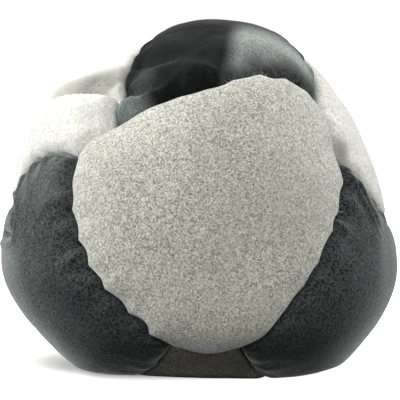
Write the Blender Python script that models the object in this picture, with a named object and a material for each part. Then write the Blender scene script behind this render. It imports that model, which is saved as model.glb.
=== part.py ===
"""Sand-filled footbag: eight sewn suede panels, their stitching and the sand inside.

Metres, +Z up. The front of the bag faces -Y, and it rests on a flat at z = 0.
The panels are the faces of an octahedron drawn round. Four are light, four are
dark, and at each of the six junctions two light corners are sewn to each other.
"""
import math

import bmesh
import bpy
from mathutils import Vector

# The filled bag, measured from the level of its widest line
widest_height = 0.0160
half_width = 0.0282
half_depth = 0.0280
rise_above_widest = 0.0329
drop_below_widest = 0.0188
base_edge_rounding = 0.0012

# The base is flat between three places round its middle and lifts a little outside
# them. Each is given in degrees round from the front and its distance from the middle
bearing_places = ((-84.5, 0.0123), (38.8, 0.01162), (141.9, 0.0115))
base_lift_share = 0.08  # height gained for each length outward
most_base_lift = 0.0010

# How far the slumped outline, seen from the front, stands off that rounded body,
# every 22.5 degrees from the right side over the top
outline_shares = (
    1.000, 0.970, 0.985, 1.050, 1.035, 0.970, 1.045, 1.005,
    1.000, 0.950, 1.020, 1.030, 1.000, 1.020, 1.080, 1.020,
)

# Suede and the way that it is turned in and sewn
suede_thickness = 0.0008
seam_gap = 0.0003
seam_depth = 0.0014
allowance_depth = 0.0027
light_lip_radius = 0.0013
dark_lip_radius = 0.0020
shoulder_inset = 0.0036
slope_depth = 0.0009
slope_length = 0.0042
junction_pit_depth = 0.0007
junction_pit_width = 0.0030
corner_radius = 0.0012
face_share = 0.68

# Stitching: each stitch draws the seam in and leaves a lobe beside it
stitch_pitch = 0.0042
lobe_height = 0.0004
fading_stitch_count = 2.5
stitch_pull = 0.0004
thread_diameter = 0.0005
thread_clearance = 0.0003
least_stitches = 2  # a seam isn't held by one stitch alone

# Sand fill, which stands clear of the suede and of the sewn allowances
sand_clearance = 0.0010
groove_half_width = 0.0022
groove_shoulder_inset = 0.0036

# Surface finishes: sRGB colours, roughness
light_suede_colour = (0.70, 0.70, 0.65)
dark_suede_colour = (0.20, 0.22, 0.22)
thread_colour = (0.13, 0.14, 0.14)
sand_colour = (0.62, 0.53, 0.40)
suede_roughness = 0.95
thread_roughness = 0.7
sand_roughness = 0.9

# Places of the twelve tips, one for each dark corner at each junction:
# degrees round from the front and degrees above the widest line
tip_angles = {
    ("left_high", "top"): (-35.7, 43.7),
    ("left_high", "left"): (-44.9, 33.6),
    ("right_high", "top"): (61.0, 49.9),
    ("right_high", "right"): (57.0, 34.0),
    ("front_low", "left"): (-9.6, -24.8),
    ("front_low", "right"): (14.8, -25.6),
    ("back_high", "top"): (-177.0, 59.0),
    ("back_high", "back"): (-177.0, 46.0),
    ("back_right", "right"): (128.0, -10.0),
    ("back_right", "back"): (145.0, -5.0),
    ("back_left", "left"): (-121.0, -7.0),
    ("back_left", "back"): (-138.0, -2.0),
}

# Each long seam: its two tips, then the places that it passes
long_seam_angles = {
    "front_top": (
        ("left_high", "top"), ("right_high", "top"),
        ((-21.5, 50.2), (2.7, 54.0), (31.5, 58.0)),
    ),
    "front_right": (
        ("right_high", "right"), ("front_low", "right"),
        ((54.0, 25.0), (42.2, 9.2), (26.4, -10.8)),
    ),
    "front_left": (
        ("front_low", "left"), ("left_high", "left"),
        ((-21.2, -12.0), (-33.4, 1.8), (-41.8, 17.5)),
    ),
    "upper_left_top": (
        ("left_high", "top"), ("back_high", "top"),
        ((-40.0, 55.0), (-56.0, 66.0), (-112.0, 77.0)),
    ),
    "upper_left_left": (
        ("left_high", "left"), ("back_left", "left"),
        ((-55.0, 33.8), (-73.0, 28.5), (-100.0, 8.0)),
    ),
    "right_top": (
        ("right_high", "top"), ("back_high", "top"),
        ((70.0, 54.5), (92.0, 63.0), (145.0, 69.0)),
    ),
    "right_right": (
        ("right_high", "right"), ("back_right", "right"),
        ((64.0, 30.5), (71.0, 22.5), (88.0, 12.5), (108.0, 1.0)),
    ),
    "bottom_left": (
        ("front_low", "left"), ("back_left", "left"),
        ((-29.0, -44.0), (-62.0, -50.0), (-98.0, -34.0)),
    ),
    "bottom_right": (
        ("front_low", "right"), ("back_right", "right"),
        ((34.0, -45.0), (68.0, -50.0), (104.0, -36.0)),
    ),
    "right_back": (
        ("back_high", "back"), ("back_right", "back"),
        ((175.0, 37.0), (158.0, 17.0)),
    ),
    "upper_left_back": (
        ("back_high", "back"), ("back_left", "back"),
        ((-170.0, 37.0), (-152.0, 18.0)),
    ),
    "bottom_back": (
        ("back_left", "back"), ("back_right", "back"),
        ((-160.0, -14.0), (-177.0, -18.0), (164.0, -15.0)),
    ),
}

# How strongly each long seam is scalloped
lobe_shares = {
    "front_top": 0.35, "front_right": 0.6, "front_left": 1.0, "upper_left_top": 0.6,
    "upper_left_left": 0.7, "right_top": 0.6, "right_right": 0.7, "bottom_left": 0.5,
    "bottom_right": 0.5, "right_back": 0.7, "upper_left_back": 0.7, "bottom_back": 0.7,
}

# Each short seam, where two light corners meet between two dark tips
short_seams = {
    "left_high": (("left_high", "top"), ("left_high", "left")),
    "right_high": (("right_high", "top"), ("right_high", "right")),
    "front_low": (("front_low", "left"), ("front_low", "right")),
    "back_high": (("back_high", "top"), ("back_high", "back")),
    "back_right": (("back_right", "right"), ("back_right", "back")),
    "back_left": (("back_left", "left"), ("back_left", "back")),
}

# Each panel's corners in turn
panels = {
    "light_panel_front": (
        ("left_high", "top"), ("right_high", "top"), ("right_high", "right"),
        ("front_low", "right"), ("front_low", "left"), ("left_high", "left"),
    ),
    "light_panel_upper_left": (
        ("left_high", "top"), ("back_high", "top"), ("back_high", "back"),
        ("back_left", "back"), ("back_left", "left"), ("left_high", "left"),
    ),
    "light_panel_right": (
        ("right_high", "top"), ("back_high", "top"), ("back_high", "back"),
        ("back_right", "back"), ("back_right", "right"), ("right_high", "right"),
    ),
    "light_panel_bottom": (
        ("front_low", "left"), ("front_low", "right"), ("back_right", "right"),
        ("back_right", "back"), ("back_left", "back"), ("back_left", "left"),
    ),
    "dark_panel_top": (
        ("left_high", "top"), ("right_high", "top"), ("back_high", "top"),
    ),
    "dark_panel_left": (
        ("left_high", "left"), ("front_low", "left"), ("back_left", "left"),
    ),
    "dark_panel_right": (
        ("right_high", "right"), ("front_low", "right"), ("back_right", "right"),
    ),
    "dark_panel_back": (
        ("back_high", "back"), ("back_right", "back"), ("back_left", "back"),
    ),
}

# Corners of the panel at the front, whose seams are drawn with rounder lobes
front_corners = panels["light_panel_front"]
front_steps = 3
hidden_steps = 2

heart = Vector((0.0, 0.0, widest_height))


def bearing(place):
    """Unit direction from the heart for degrees round from the front and up."""
    turn = math.radians(place[0])
    lift = math.radians(place[1])
    return Vector((
        math.sin(turn) * math.cos(lift),
        -math.cos(turn) * math.cos(lift),
        math.sin(lift),
    ))


def outline_factor(direction):
    """Share of the rounded body that the slumped outline has in this direction."""
    count = len(outline_shares)
    step = math.atan2(direction.z, direction.x) % math.tau / math.tau * count
    index = int(step) % count
    part = step - int(step)
    before, here, after, beyond = (
        outline_shares[(index + offset) % count] for offset in (-1, 0, 1, 2)
    )
    curve = here + 0.5 * part * (
        after - before
        + part * (2 * before - 5 * here + 4 * after - beyond
                  + part * (3 * (here - after) + beyond - before))
    )
    side_on = 1 - direction.y ** 2
    return 1 + (curve - 1) * side_on


def base_lift(direction):
    """How far the pressed base stands off the flat where this direction meets it."""
    far = widest_height / -direction.z
    spot = Vector((direction.x * far, direction.y * far))
    places = [Vector((math.sin(math.radians(turn)), -math.cos(math.radians(turn)))) * reach
              for turn, reach in bearing_places]
    outside = 0.0
    for first, second in zip(places, places[1:] + places[:1]):
        along = (second - first).normalized()
        outward = Vector((along.y, -along.x))
        if outward.dot(first) < 0:
            outward.negate()
        outside = max(outside, outward.dot(spot - first))
    return min(base_lift_share * outside, most_base_lift)


def body_radius(direction, dip=0.0, wall=0.0):
    """Distance from the heart to the skin, or to this depth under it; the base is pressed."""
    rise = rise_above_widest if direction.z > 0 else drop_below_widest
    radius = outline_factor(direction) / math.sqrt(
        (direction.x / half_width) ** 2
        + (direction.y / half_depth) ** 2
        + (direction.z / rise) ** 2
    ) - dip - wall
    if direction.z >= 0:
        return radius
    to_floor = (widest_height - base_lift(direction) - wall) / -direction.z
    overlap = max(base_edge_rounding - abs(radius - to_floor), 0.0)
    return min(radius, to_floor) - overlap ** 2 / (4 * base_edge_rounding)


def skin_point(direction):
    """Point of the plain body in this direction."""
    return heart + direction * body_radius(direction)


def toward(point):
    """Direction of a point from the heart."""
    return (point - heart).normalized()


def along_curve(points, count):
    """Points at equal steps on a smooth curve over the body through the given ones."""
    path = []
    padded = [2 * points[0] - points[1]] + points + [2 * points[-1] - points[-2]]
    fine = 24
    for index in range(1, len(padded) - 2):
        before, start, end, beyond = padded[index - 1:index + 3]
        for step in range(fine):
            part = step / fine
            spot = start + 0.5 * part * (
                (end - before)
                + part * ((2 * before - 5 * start + 4 * end - beyond)
                          + part * (3 * (start - end) + beyond - before))
            )
            path.append(skin_point(toward(spot)))
    path.append(points[-1])
    lengths = [0.0]
    for first, second in zip(path, path[1:]):
        lengths.append(lengths[-1] + (second - first).length)
    places = []
    index = 0
    for number in range(count + 1):
        target = lengths[-1] * number / count
        while index < len(lengths) - 2 and lengths[index + 1] < target:
            index += 1
        part = (target - lengths[index]) / (lengths[index + 1] - lengths[index])
        places.append(path[index].lerp(path[index + 1], part))
    return places


def middle_of(points):
    """Point of the plain body in the middle of the given ones."""
    return skin_point(toward(sum(points, Vector()) / len(points)))


def curve_length(points):
    """Length of the smooth curve over the body through the given points."""
    path = along_curve(points, 60)
    return sum((second - first).length for first, second in zip(path, path[1:]))


def seam_points():
    """Every seam as (point, stitched) from tip to tip, with lobes between stitches."""
    seams = {}
    for name, (start, end, passes) in long_seam_angles.items():
        through = [skin_point(bearing(place)) for place in
                   (tip_angles[start], *passes, tip_angles[end])]
        steps = front_steps if start in front_corners and end in front_corners else hidden_steps
        stitches = round(curve_length(through) / stitch_pitch)
        points = along_curve(through, steps * stitches)
        dark = next(corners for panel, corners in panels.items()
                    if panel.startswith("dark") and start in corners and end in corners)
        middle = middle_of([skin_point(bearing(tip_angles[corner])) for corner in dark])
        seam = [(points[0], False)]
        for index in range(1, len(points) - 1):
            run = (points[index + 1] - points[index - 1]).normalized()
            side = run.cross(toward(points[index])).normalized()
            if side.dot(middle - points[index]) < 0:
                side.negate()
            stitched = index % steps == 0
            from_tip = min(index, len(points) - 1 - index)
            fading = min(from_tip / (fading_stitch_count * steps), 1)
            reach = lobe_height * lobe_shares[name] * fading
            seam.append((points[index] + side * (-reach if stitched else reach), stitched))
        seam.append((points[-1], False))
        seams[start, end] = seam
    for start, end in short_seams.values():
        through = [skin_point(bearing(tip_angles[start])), skin_point(bearing(tip_angles[end]))]
        stitches = max(round(curve_length(through) / stitch_pitch), least_stitches)
        points = along_curve(through, hidden_steps * stitches)
        seams[start, end] = [(point, 0 < index < len(points) - 1 and index % hidden_steps == 0)
                             for index, point in enumerate(points)]
    return seams


def side_of(seams, start, end):
    """A seam's points in the order from one tip to the other."""
    if (start, end) in seams:
        return seams[start, end]
    return seams[end, start][::-1]


def rounded_corner(before, tip, after):
    """Points of a small arc in place of a corner, and how far it reaches back."""
    back = (before - tip).normalized()
    on = (after - tip).normalized()
    half_angle = back.angle(on) / 2
    trim = corner_radius / math.tan(half_angle)
    middle = tip + (back + on).normalized() * (corner_radius / math.sin(half_angle) - corner_radius)
    return [tip + back * trim, middle, tip + on * trim], trim


def panel_outline(corners, seams):
    """Closed outline of a panel as (point, stitched), with its corners rounded."""
    sides = [side_of(seams, start, end) for start, end in zip(corners, corners[1:] + corners[:1])]
    outline = []
    for index, side in enumerate(sides):
        following = sides[(index + 1) % len(sides)]
        previous = sides[index - 1]
        tip_before, tip_after = side[0][0], side[-1][0]
        trim_start = rounded_corner(previous[-2][0], tip_before, side[1][0])[1]
        arc, trim_end = rounded_corner(side[-2][0], tip_after, following[1][0])
        for point, stitched in side[1:-1]:
            from_start = (point - tip_before).length - trim_start
            from_end = (point - tip_after).length - trim_end
            if min(from_start, from_end) > corner_radius / 2:
                outline.append((point, stitched))
        if trim_end < corner_radius:
            arc = arc[1:2]
        outline.extend((point, False) for point in arc)
    return outline


def to_line(point, start, end):
    """Distance from a point to the straight piece between two others."""
    line = end - start
    part = min(max((point - start).dot(line) / line.length_squared, 0.0), 1.0)
    return (start + line * part - point).length


def to_outline(point, outline):
    """Distance from a point to a closed outline."""
    return min(to_line(point, start, end) for start, end in zip(outline, outline[1:] + outline[:1]))


def edge_directions(points, middle, inset):
    """Directions of an outline's points, each side moved square to itself by the inset."""
    moved = []
    for before, point, after in zip(points[-1:] + points[:-1], points, points[1:] + points[:1]):
        into = (point - before).normalized()
        out = (after - point).normalized()
        inward = toward(point).cross(into + out).normalized()
        if inward.dot(middle - point) < 0:
            inward.negate()
        moved.append(toward(point + inward * (inset / math.cos(into.angle(out) / 2))))
    return moved


def ring_directions(points, middle, share):
    """Directions of the outline drawn toward the middle by a share of the way."""
    return [toward(point.lerp(middle, share)) for point in points]


def slope_dip(point, seam_lines, tip_places):
    """How far the crowned panel has fallen away here, toward its seams and tips."""
    to_seam = min(to_line(point, start, end) for start, end in seam_lines)
    to_tip = min((point - place).length for place in tip_places)
    dip = slope_depth * math.exp(-to_seam / slope_length)
    return dip + junction_pit_depth * math.exp(-(to_tip / junction_pit_width) ** 2)


def lip_drop(inset, lip_radius):
    """Drop of a rounded lip at this distance from the seam."""
    if inset >= lip_radius:
        return 0.0
    return lip_radius - math.sqrt(lip_radius ** 2 - (lip_radius - inset) ** 2)


def loft(mesh, sections, first_centre=None, last_centre=None):
    """Skin through closed sections, of unlike counts too, with domed ends."""
    loops = [[mesh.verts.new(point) for point in section] for section in sections]
    for first, second in zip(loops, loops[1:]):
        many, few = (first, second) if len(first) >= len(second) else (second, first)
        here, there = 0, 0
        while here < len(many) or there < len(few):
            start, end = many[here % len(many)], few[there % len(few)]
            if len(many) == len(few):
                here += 1
                there += 1
                mesh.faces.new((start, many[here % len(many)], few[there % len(few)], end))
            elif (here + 1) * len(few) <= (there + 1) * len(many):
                here += 1
                mesh.faces.new((start, many[here % len(many)], end))
            else:
                there += 1
                mesh.faces.new((start, few[there % len(few)], end))
    for loop, centre in ((loops[0], first_centre), (loops[-1], last_centre)):
        if centre is not None:
            crown = mesh.verts.new(centre)
            for index, vert in enumerate(loop):
                mesh.faces.new((loop[index - 1], vert, crown))


def new_object(name, mesh, material, collection):
    """Object made from a finished bmesh, smooth over its rounded faces."""
    bmesh.ops.recalc_face_normals(mesh, faces=mesh.faces[:])
    data = bpy.data.meshes.new(name)
    mesh.to_mesh(data)
    mesh.free()
    data.shade_smooth()
    data.set_sharp_from_angle(angle=math.radians(50))
    data.materials.append(material)
    obj = bpy.data.objects.new(name, data)
    collection.objects.link(obj)
    return obj


def make_material(name, colour, roughness):
    """Plain non-metallic finish."""
    material = bpy.data.materials.new(name)
    material.use_nodes = True
    shader = material.node_tree.nodes["Principled BSDF"]
    linear = [((value + 0.055) / 1.055) ** 2.4 for value in colour]
    shader.inputs["Base Color"].default_value = (*linear, 1)
    shader.inputs["Roughness"].default_value = roughness
    shader.inputs["Metallic"].default_value = 0
    material.diffuse_color = (*linear, 1)
    return material


def make_panel(name, seams, tip_places, material, collection):
    """One suede panel: crowned face, rounded lips, turned-in seam allowance."""
    outline = panel_outline(panels[name], seams)
    points = [point for point, _ in outline]
    lines = list(zip(points, points[1:] + points[:1]))
    middle = middle_of(points)
    reach = to_outline(middle, points)
    lip_radius = light_lip_radius if name.startswith("light") else dark_lip_radius

    def section(directions, step, wall=0.0, drop=None):
        """Ring of the panel's face, or of its inner side where it has a wall depth."""
        ring = []
        for direction, (_, stitched) in list(zip(directions, outline))[::step]:
            skin = skin_point(direction)
            from_seam = to_outline(skin, points)
            pull = stitch_pull * max(1 - from_seam / shoulder_inset, 0.0) if stitched else 0.0
            fall = lip_drop(from_seam, lip_radius) if drop is None else drop
            dip = slope_dip(skin, lines, tip_places)
            ring.append(heart + direction * (body_radius(direction, dip, wall) - fall - pull))
        return ring

    edge = edge_directions(points, middle, seam_gap / 2)
    inner_edge = edge_directions(points, middle, seam_gap / 2 + suede_thickness)
    lip = ring_directions(points, middle, lip_radius / 3 / reach)
    brow = ring_directions(points, middle, lip_radius / reach)
    shoulder = ring_directions(points, middle, shoulder_inset / reach)
    face = ring_directions(points, middle, face_share)
    turned = section(edge, 1, drop=seam_depth)
    raw = [point - direction * allowance_depth for point, direction in zip(turned, edge)]
    raw_inner = [heart + direction * (point - heart).length
                 for point, direction in zip(raw, inner_edge)]
    # the panel underneath closes straight below the heart, on the flat of the base
    way = Vector((0, 0, -1)) if name == "light_panel_bottom" else toward(middle)
    mesh = bmesh.new()
    loft(
        mesh,
        [
            section(face, 4), section(shoulder, 2), section(brow, 1), section(lip, 1),
            turned, raw, raw_inner,
            section(inner_edge, 1, wall=suede_thickness, drop=lip_radius / 3),
            section(shoulder, 2, wall=suede_thickness), section(face, 4, wall=suede_thickness),
        ],
        heart + way * body_radius(way), heart + way * body_radius(way, 0.0, suede_thickness),
    )
    return new_object(name, mesh, material, collection)


def make_thread(name, seam, tip_places, material, collection):
    """Sewing thread that zigzags under the raw edges of the two allowances."""
    curve = bpy.data.curves.new(name, "CURVE")
    curve.dimensions = "3D"
    curve.bevel_depth = thread_diameter / 2
    curve.bevel_resolution = 1
    curve.use_fill_caps = True
    spline = curve.splines.new("POLY")
    points = [point for point, _ in seam]
    lines = list(zip(points, points[1:]))
    spline.points.add(len(points) - 3)
    below = seam_depth + stitch_pull + allowance_depth + thread_clearance + thread_diameter / 2
    sway = (seam_gap + suede_thickness) / 2
    for index, (before, point, after) in enumerate(zip(points, points[1:], points[2:])):
        direction = toward(point)
        side = (after - before).cross(direction).normalized()
        radius = body_radius(direction, slope_dip(skin_point(direction), lines, tip_places)) - below
        sign = 1 if index % 2 else -1
        spline.points[index].co = (*(heart + direction * radius + side * sway * sign), 1)
    curve.materials.append(material)
    obj = bpy.data.objects.new(name, curve)
    collection.objects.link(obj)
    return obj


def make_sand(seams, tip_places, material, collection):
    """Sand as one body, lobed up under each panel and grooved under each seam."""
    mesh = bmesh.new()
    under_suede = suede_thickness + sand_clearance
    under_seam = (seam_depth + stitch_pull + allowance_depth + thread_clearance
                  + thread_diameter - suede_thickness)
    for corners in panels.values():
        points = []
        for start, end in zip(corners, corners[1:] + corners[:1]):
            side = side_of(seams, start, end)
            stride = 2 if len(side) % 2 else 1
            points.extend(point for point, _ in side[:-1:stride])
        lines = list(zip(points, points[1:] + points[:1]))
        middle = middle_of(points)
        reach = to_outline(middle, points)
        sections = []
        for inset, depth in (
            (0.0, under_seam), (groove_half_width, under_seam), (groove_shoulder_inset, 0.0),
        ):
            ring = []
            for direction in ring_directions(points, middle, inset / reach):
                dip = slope_dip(skin_point(direction), lines, tip_places)
                radius = body_radius(direction, dip, under_suede)
                ring.append(heart + direction * (radius - depth))
            sections.append(ring)
        way = toward(middle)
        loft(mesh, sections, last_centre=heart + way * body_radius(way, 0.0, under_suede))
    bmesh.ops.remove_doubles(mesh, verts=mesh.verts[:], dist=seam_gap / 6)
    return new_object("sand_fill", mesh, material, collection)


def centre_over_origin(suede, pieces, collection):
    """Carry every piece on an empty that centres the bag's outline over the origin."""
    corners = [vert.co for obj in suede for vert in obj.data.vertices]
    carrier = bpy.data.objects.new("footbag_carrier", None)
    collection.objects.link(carrier)
    for obj in pieces:
        obj.parent = carrier
    carrier.location = (
        -(min(co.x for co in corners) + max(co.x for co in corners)) / 2,
        -(min(co.y for co in corners) + max(co.y for co in corners)) / 2,
        0,
    )


def main():
    for obj in list(bpy.data.objects):
        bpy.data.objects.remove(obj, do_unlink=True)
    collection = bpy.data.collections.new("Footbag")
    bpy.context.scene.collection.children.link(collection)
    light_suede = make_material("Light suede", light_suede_colour, suede_roughness)
    dark_suede = make_material("Dark suede", dark_suede_colour, suede_roughness)
    thread = make_material("Waxed thread", thread_colour, thread_roughness)
    sand = make_material("Sand", sand_colour, sand_roughness)

    seams = seam_points()
    tip_places = [skin_point(bearing(place)) for place in tip_angles.values()]
    suede = []
    for name in panels:
        finish = light_suede if name.startswith("light") else dark_suede
        suede.append(make_panel(name, seams, tip_places, finish, collection))
    inside = [make_sand(seams, tip_places, sand, collection)]
    for name, (start, end, _) in long_seam_angles.items():
        inside.append(make_thread("thread_" + name, seams[start, end], tip_places, thread,
                                  collection))
    for name, (start, end) in short_seams.items():
        inside.append(make_thread("thread_corner_" + name, seams[start, end], tip_places, thread,
                                  collection))
    centre_over_origin(suede, suede + inside, collection)


main()
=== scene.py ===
import math

import bmesh
import bpy
import numpy as np
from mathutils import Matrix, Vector, noise
from mathutils.bvhtree import BVHTree


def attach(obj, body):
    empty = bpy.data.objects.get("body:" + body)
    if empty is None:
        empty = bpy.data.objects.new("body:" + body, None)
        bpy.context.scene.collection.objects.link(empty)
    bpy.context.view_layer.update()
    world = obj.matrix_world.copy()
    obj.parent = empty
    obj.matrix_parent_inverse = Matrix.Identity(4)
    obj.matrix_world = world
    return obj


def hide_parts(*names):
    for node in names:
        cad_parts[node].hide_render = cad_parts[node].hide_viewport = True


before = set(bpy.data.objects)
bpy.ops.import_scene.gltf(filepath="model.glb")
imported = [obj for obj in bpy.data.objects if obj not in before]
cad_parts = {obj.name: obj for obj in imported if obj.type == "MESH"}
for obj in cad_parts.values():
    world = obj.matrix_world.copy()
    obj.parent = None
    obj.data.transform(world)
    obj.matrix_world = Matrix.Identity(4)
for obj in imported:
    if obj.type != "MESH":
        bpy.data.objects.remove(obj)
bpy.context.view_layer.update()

# Footbag: eight suede panels sewn round a sand fill, slumped on a white studio floor.
# Metres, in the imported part's own frame. The front of the bag looks along -Y.

scene = bpy.context.scene
print("frame: %d nodes" % len(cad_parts))

# The bag's plain body, as the part has it
bag = {
    "heart": (0.000051, -0.000174, 0.0160),  # inner point that every direction is taken from
    "halfWidth": 0.0282,
    "halfDepth": 0.0280,
    "rise": 0.0329,
    "drop": 0.0188,
    "baseRounding": 0.0012,
    # where the pressed base bears: degrees round from the front, distance from the middle
    "bearingPlaces": ((-84.5, 0.0123), (38.8, 0.01162), (141.9, 0.0115)),
    "liftShare": 0.08,
    "mostLift": 0.0010,
    # the slumped outline seen from the front, every 22.5 degrees from the right over the top,
    # a little fuller low down than the part's
    "outlineShares": (
        1.000, 0.970, 0.985, 1.050, 1.035, 0.970, 1.045, 1.005,
        1.000, 0.975, 1.045, 1.035, 1.000, 1.020, 1.095, 1.025,
    ),
    "thickness": 0.0008,
    "gap": 0.00015,
    "seamDepth": 0.0014,
    "allowance": 0.0027,
    "lightLip": 0.0013,
    "darkLip": 0.0020,
    "shoulder": 0.0036,
    "slopeDepth": 0.0009,
    "slopeLength": 0.0042,
    "pitDepth": 0.0007,
    "pitWidth": 0.0030,
    "cornerRadius": 0.0012,
}

stitching = {
    "pitch": 0.0042,
    "lobe": 0.00036,  # how far a stitch sets the edge back, and the lobe forward
    "uneven": 0.10,  # how far a stitch misses its even place, in stitches
    "fading": 1.5,  # stitches over which the lobes die out toward a tip
    "pull": 0.0004,
    "lightShare": 0.25,  # the light suede lies on top and is dented less
    "shifts": {"front_top": 0.40},  # stitches that lie later than even ones
    "samples": 12,  # points along the edge for each stitch
    "fewest": 2,  # stitches in the shortest seam
}

# degrees round from the front and degrees above the widest line
tips = {
    ("left_high", "top"): (-35.7, 43.7),
    ("left_high", "left"): (-44.9, 33.6),
    ("right_high", "top"): (61.0, 49.9),
    ("right_high", "right"): (57.0, 34.0),
    ("front_low", "left"): (-9.6, -24.8),
    ("front_low", "right"): (14.8, -25.6),
    ("back_high", "top"): (-177.0, 59.0),
    ("back_high", "back"): (-177.0, 46.0),
    ("back_right", "right"): (128.0, -10.0),
    ("back_right", "back"): (145.0, -5.0),
    ("back_left", "left"): (-121.0, -7.0),
    ("back_left", "back"): (-138.0, -2.0),
}

# name, which ends in its dark panel's: junction, junction, places passed, then at both ends
# the share of the full lobe and where in a stitch the dark suede bulges most over the light
longSeams = {
    "front_top": ("left_high", "right_high", ((-21.5, 50.2), (2.7, 54.0), (31.5, 58.0)),
                  (0.1, 1.5), (0.5, 0.45)),
    "front_right": ("right_high", "front_low", ((54.0, 25.0), (42.2, 9.2), (26.4, -10.8)),
                    (1.2, 0.1), (0.5, 0.5)),
    "front_left": ("front_low", "left_high", ((-21.2, -12.0), (-33.4, 1.8), (-41.8, 17.5)),
                   (1.7, 0.5), (0.28, 0.68)),
    "upper_left_top": ("left_high", "back_high", ((-40.0, 55.0), (-56.0, 66.0), (-112.0, 77.0)),
                       (0.2, 0.6), (0.5, 0.5)),
    "upper_left_left": ("left_high", "back_left", ((-55.0, 33.8), (-73.0, 28.5), (-100.0, 8.0)),
                        (0.4, 0.6), (0.5, 0.5)),
    "right_top": ("right_high", "back_high", ((70.0, 54.5), (92.0, 63.0), (145.0, 69.0)),
                  (0.6, 0.6), (0.5, 0.5)),
    "right_right": ("right_high", "back_right",
                    ((64.0, 30.5), (71.0, 22.5), (88.0, 12.5), (108.0, 1.0)),
                    (0.7, 0.7), (0.5, 0.5)),
    "bottom_left": ("front_low", "back_left", ((-29.0, -44.0), (-62.0, -50.0), (-98.0, -34.0)),
                    (0.5, 0.5), (0.5, 0.5)),
    "bottom_right": ("front_low", "back_right", ((34.0, -45.0), (68.0, -50.0), (104.0, -36.0)),
                     (0.5, 0.5), (0.5, 0.5)),
    "right_back": ("back_high", "back_right", ((175.0, 37.0), (158.0, 17.0)),
                   (0.7, 0.7), (0.6, 0.6)),
    "upper_left_back": ("back_high", "back_left", ((-170.0, 37.0), (-152.0, 18.0)),
                        (0.7, 0.7), (0.4, 0.4)),
    "bottom_back": ("back_left", "back_right", ((-160.0, -14.0), (-177.0, -18.0), (164.0, -15.0)),
                    (0.7, 0.7), (0.5, 0.5)),
}

shortSeamPasses = {"front_low": ((3.4, -28.0),)}

# the junctions round each light panel, with the dark panels between them
lightEdges = {
    "front": ("left_high", "top", "right_high", "right", "front_low", "left"),
    "upper_left": ("left_high", "top", "back_high", "back", "back_left", "left"),
    "right": ("right_high", "top", "back_high", "back", "back_right", "right"),
    "bottom": ("left", "front_low", "right", "back_right", "back", "back_left"),
}
panelCorners = {}
for name, edge in lightEdges.items():
    pairs = zip(edge, edge[1:] + edge[:1])
    panelCorners["light_panel_" + name] = [pair if pair in tips else pair[::-1] for pair in pairs]
for dark in ("top", "left", "right", "back"):
    panelCorners["dark_panel_" + dark] = [tip for tip in tips if tip[1] == dark]

# Slack folds of the suede: a groove along the path, and for some a roll on one side of it.
# A positive side is on the left of the path, seen from outside. "fades" are the
# shares of the path over which it comes and goes. "on" names the only panels that have it.
folds = {
    "shoulder crease": {
        "path": ((-88.0, 41.0), (-68.3, 46.8), (-57.4, 50.4), (-46.4, 52.6), (-36.5, 53.6),
                 (-25.6, 54.8), (-10.0, 56.5)),
        "groove": 0.0022, "width": 0.0013, "roll": 0.0011, "rollWidth": 0.0030, "steep": 0.45,
        "side": -1, "fades": (0.25, 0.40), "on": ("upper_left", "top"),
    },
    "hollow behind the shoulder": {
        "path": ((-66.0, 55.0), (-54.0, 57.0), (-44.0, 56.5)),
        "groove": 0.0009, "width": 0.0024, "fades": (0.30, 0.30), "on": ("upper_left",),
    },
    "upper slack of the top panel": {
        "path": ((-52.0, 66.0), (-31.8, 65.6), (-17.4, 64.9), (-2.0, 64.0)),
        "groove": 0.0013, "width": 0.0018, "roll": 0.0005, "rollWidth": 0.0018,
        "side": -1, "fades": (0.20, 0.50), "on": ("top",),
    },
    "left of the top panel's soft ridge": {
        "path": ((22.0, 80.0), (4.0, 70.0), (-1.0, 60.0)),
        "groove": 0.0011, "width": 0.0036, "roll": 0.0004, "rollWidth": 0.0030,
        "side": 1, "fades": (0.30, 0.30), "on": ("top",),
    },
    "drawn-in top edge": {
        "path": ((10.0, 58.5), (22.0, 61.5), (34.0, 62.5), (46.0, 60.0), (54.0, 56.5)),
        "groove": 0.0011, "width": 0.0017, "fades": (0.30, 0.25), "on": ("top",),
    },
    "ridge down the right panel": {
        "path": ((60.5, 29.0), (61.4, 25.5), (61.6, 22.0), (63.4, 18.0), (66.5, 13.0), (70.0, 8.0)),
        "groove": 0.0014, "width": 0.0008, "roll": 0.0008, "rollWidth": 0.0007,
        "side": -1, "fades": (0.10, 0.60), "on": ("dark_panel_right",),
    },
    "pucker at the left edge": {
        "path": ((-86.0, 18.0), (-74.0, 17.0), (-70.0, 14.8), (-69.0, 11.5), (-71.0, 8.6),
                 (-86.0, 7.4)),
        "groove": 0.0014, "width": 0.0007, "roll": 0.0005, "rollWidth": 0.0012,
        "side": 1, "fades": (0.15, 0.15), "on": ("dark_panel_left",),
    },
    "belly of the front panel": {
        "path": ((-24.0, -8.0), (-8.0, -15.0), (4.0, -17.0), (16.0, -15.0), (30.0, -6.0)),
        "groove": -0.0013, "width": 0.0050, "fades": (0.30, 0.30), "on": ("front",),
    },
    "tuck under the front panel": {
        "path": ((-44.0, -42.0), (-20.0, -38.0), (3.0, -37.0), (24.0, -38.0), (46.0, -42.0)),
        "groove": 0.0016, "width": 0.0060, "fades": (0.20, 0.20), "on": ("bottom",),
    },
    "dent of the left panel": {
        "path": ((-46.0, 21.0), (-39.8, 13.3), (-32.0, 2.0), (-25.0, -8.0)),
        "groove": 0.0005, "width": 0.0022, "fades": (0.30, 0.30), "on": ("dark_panel_left",),
    },
}

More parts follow.
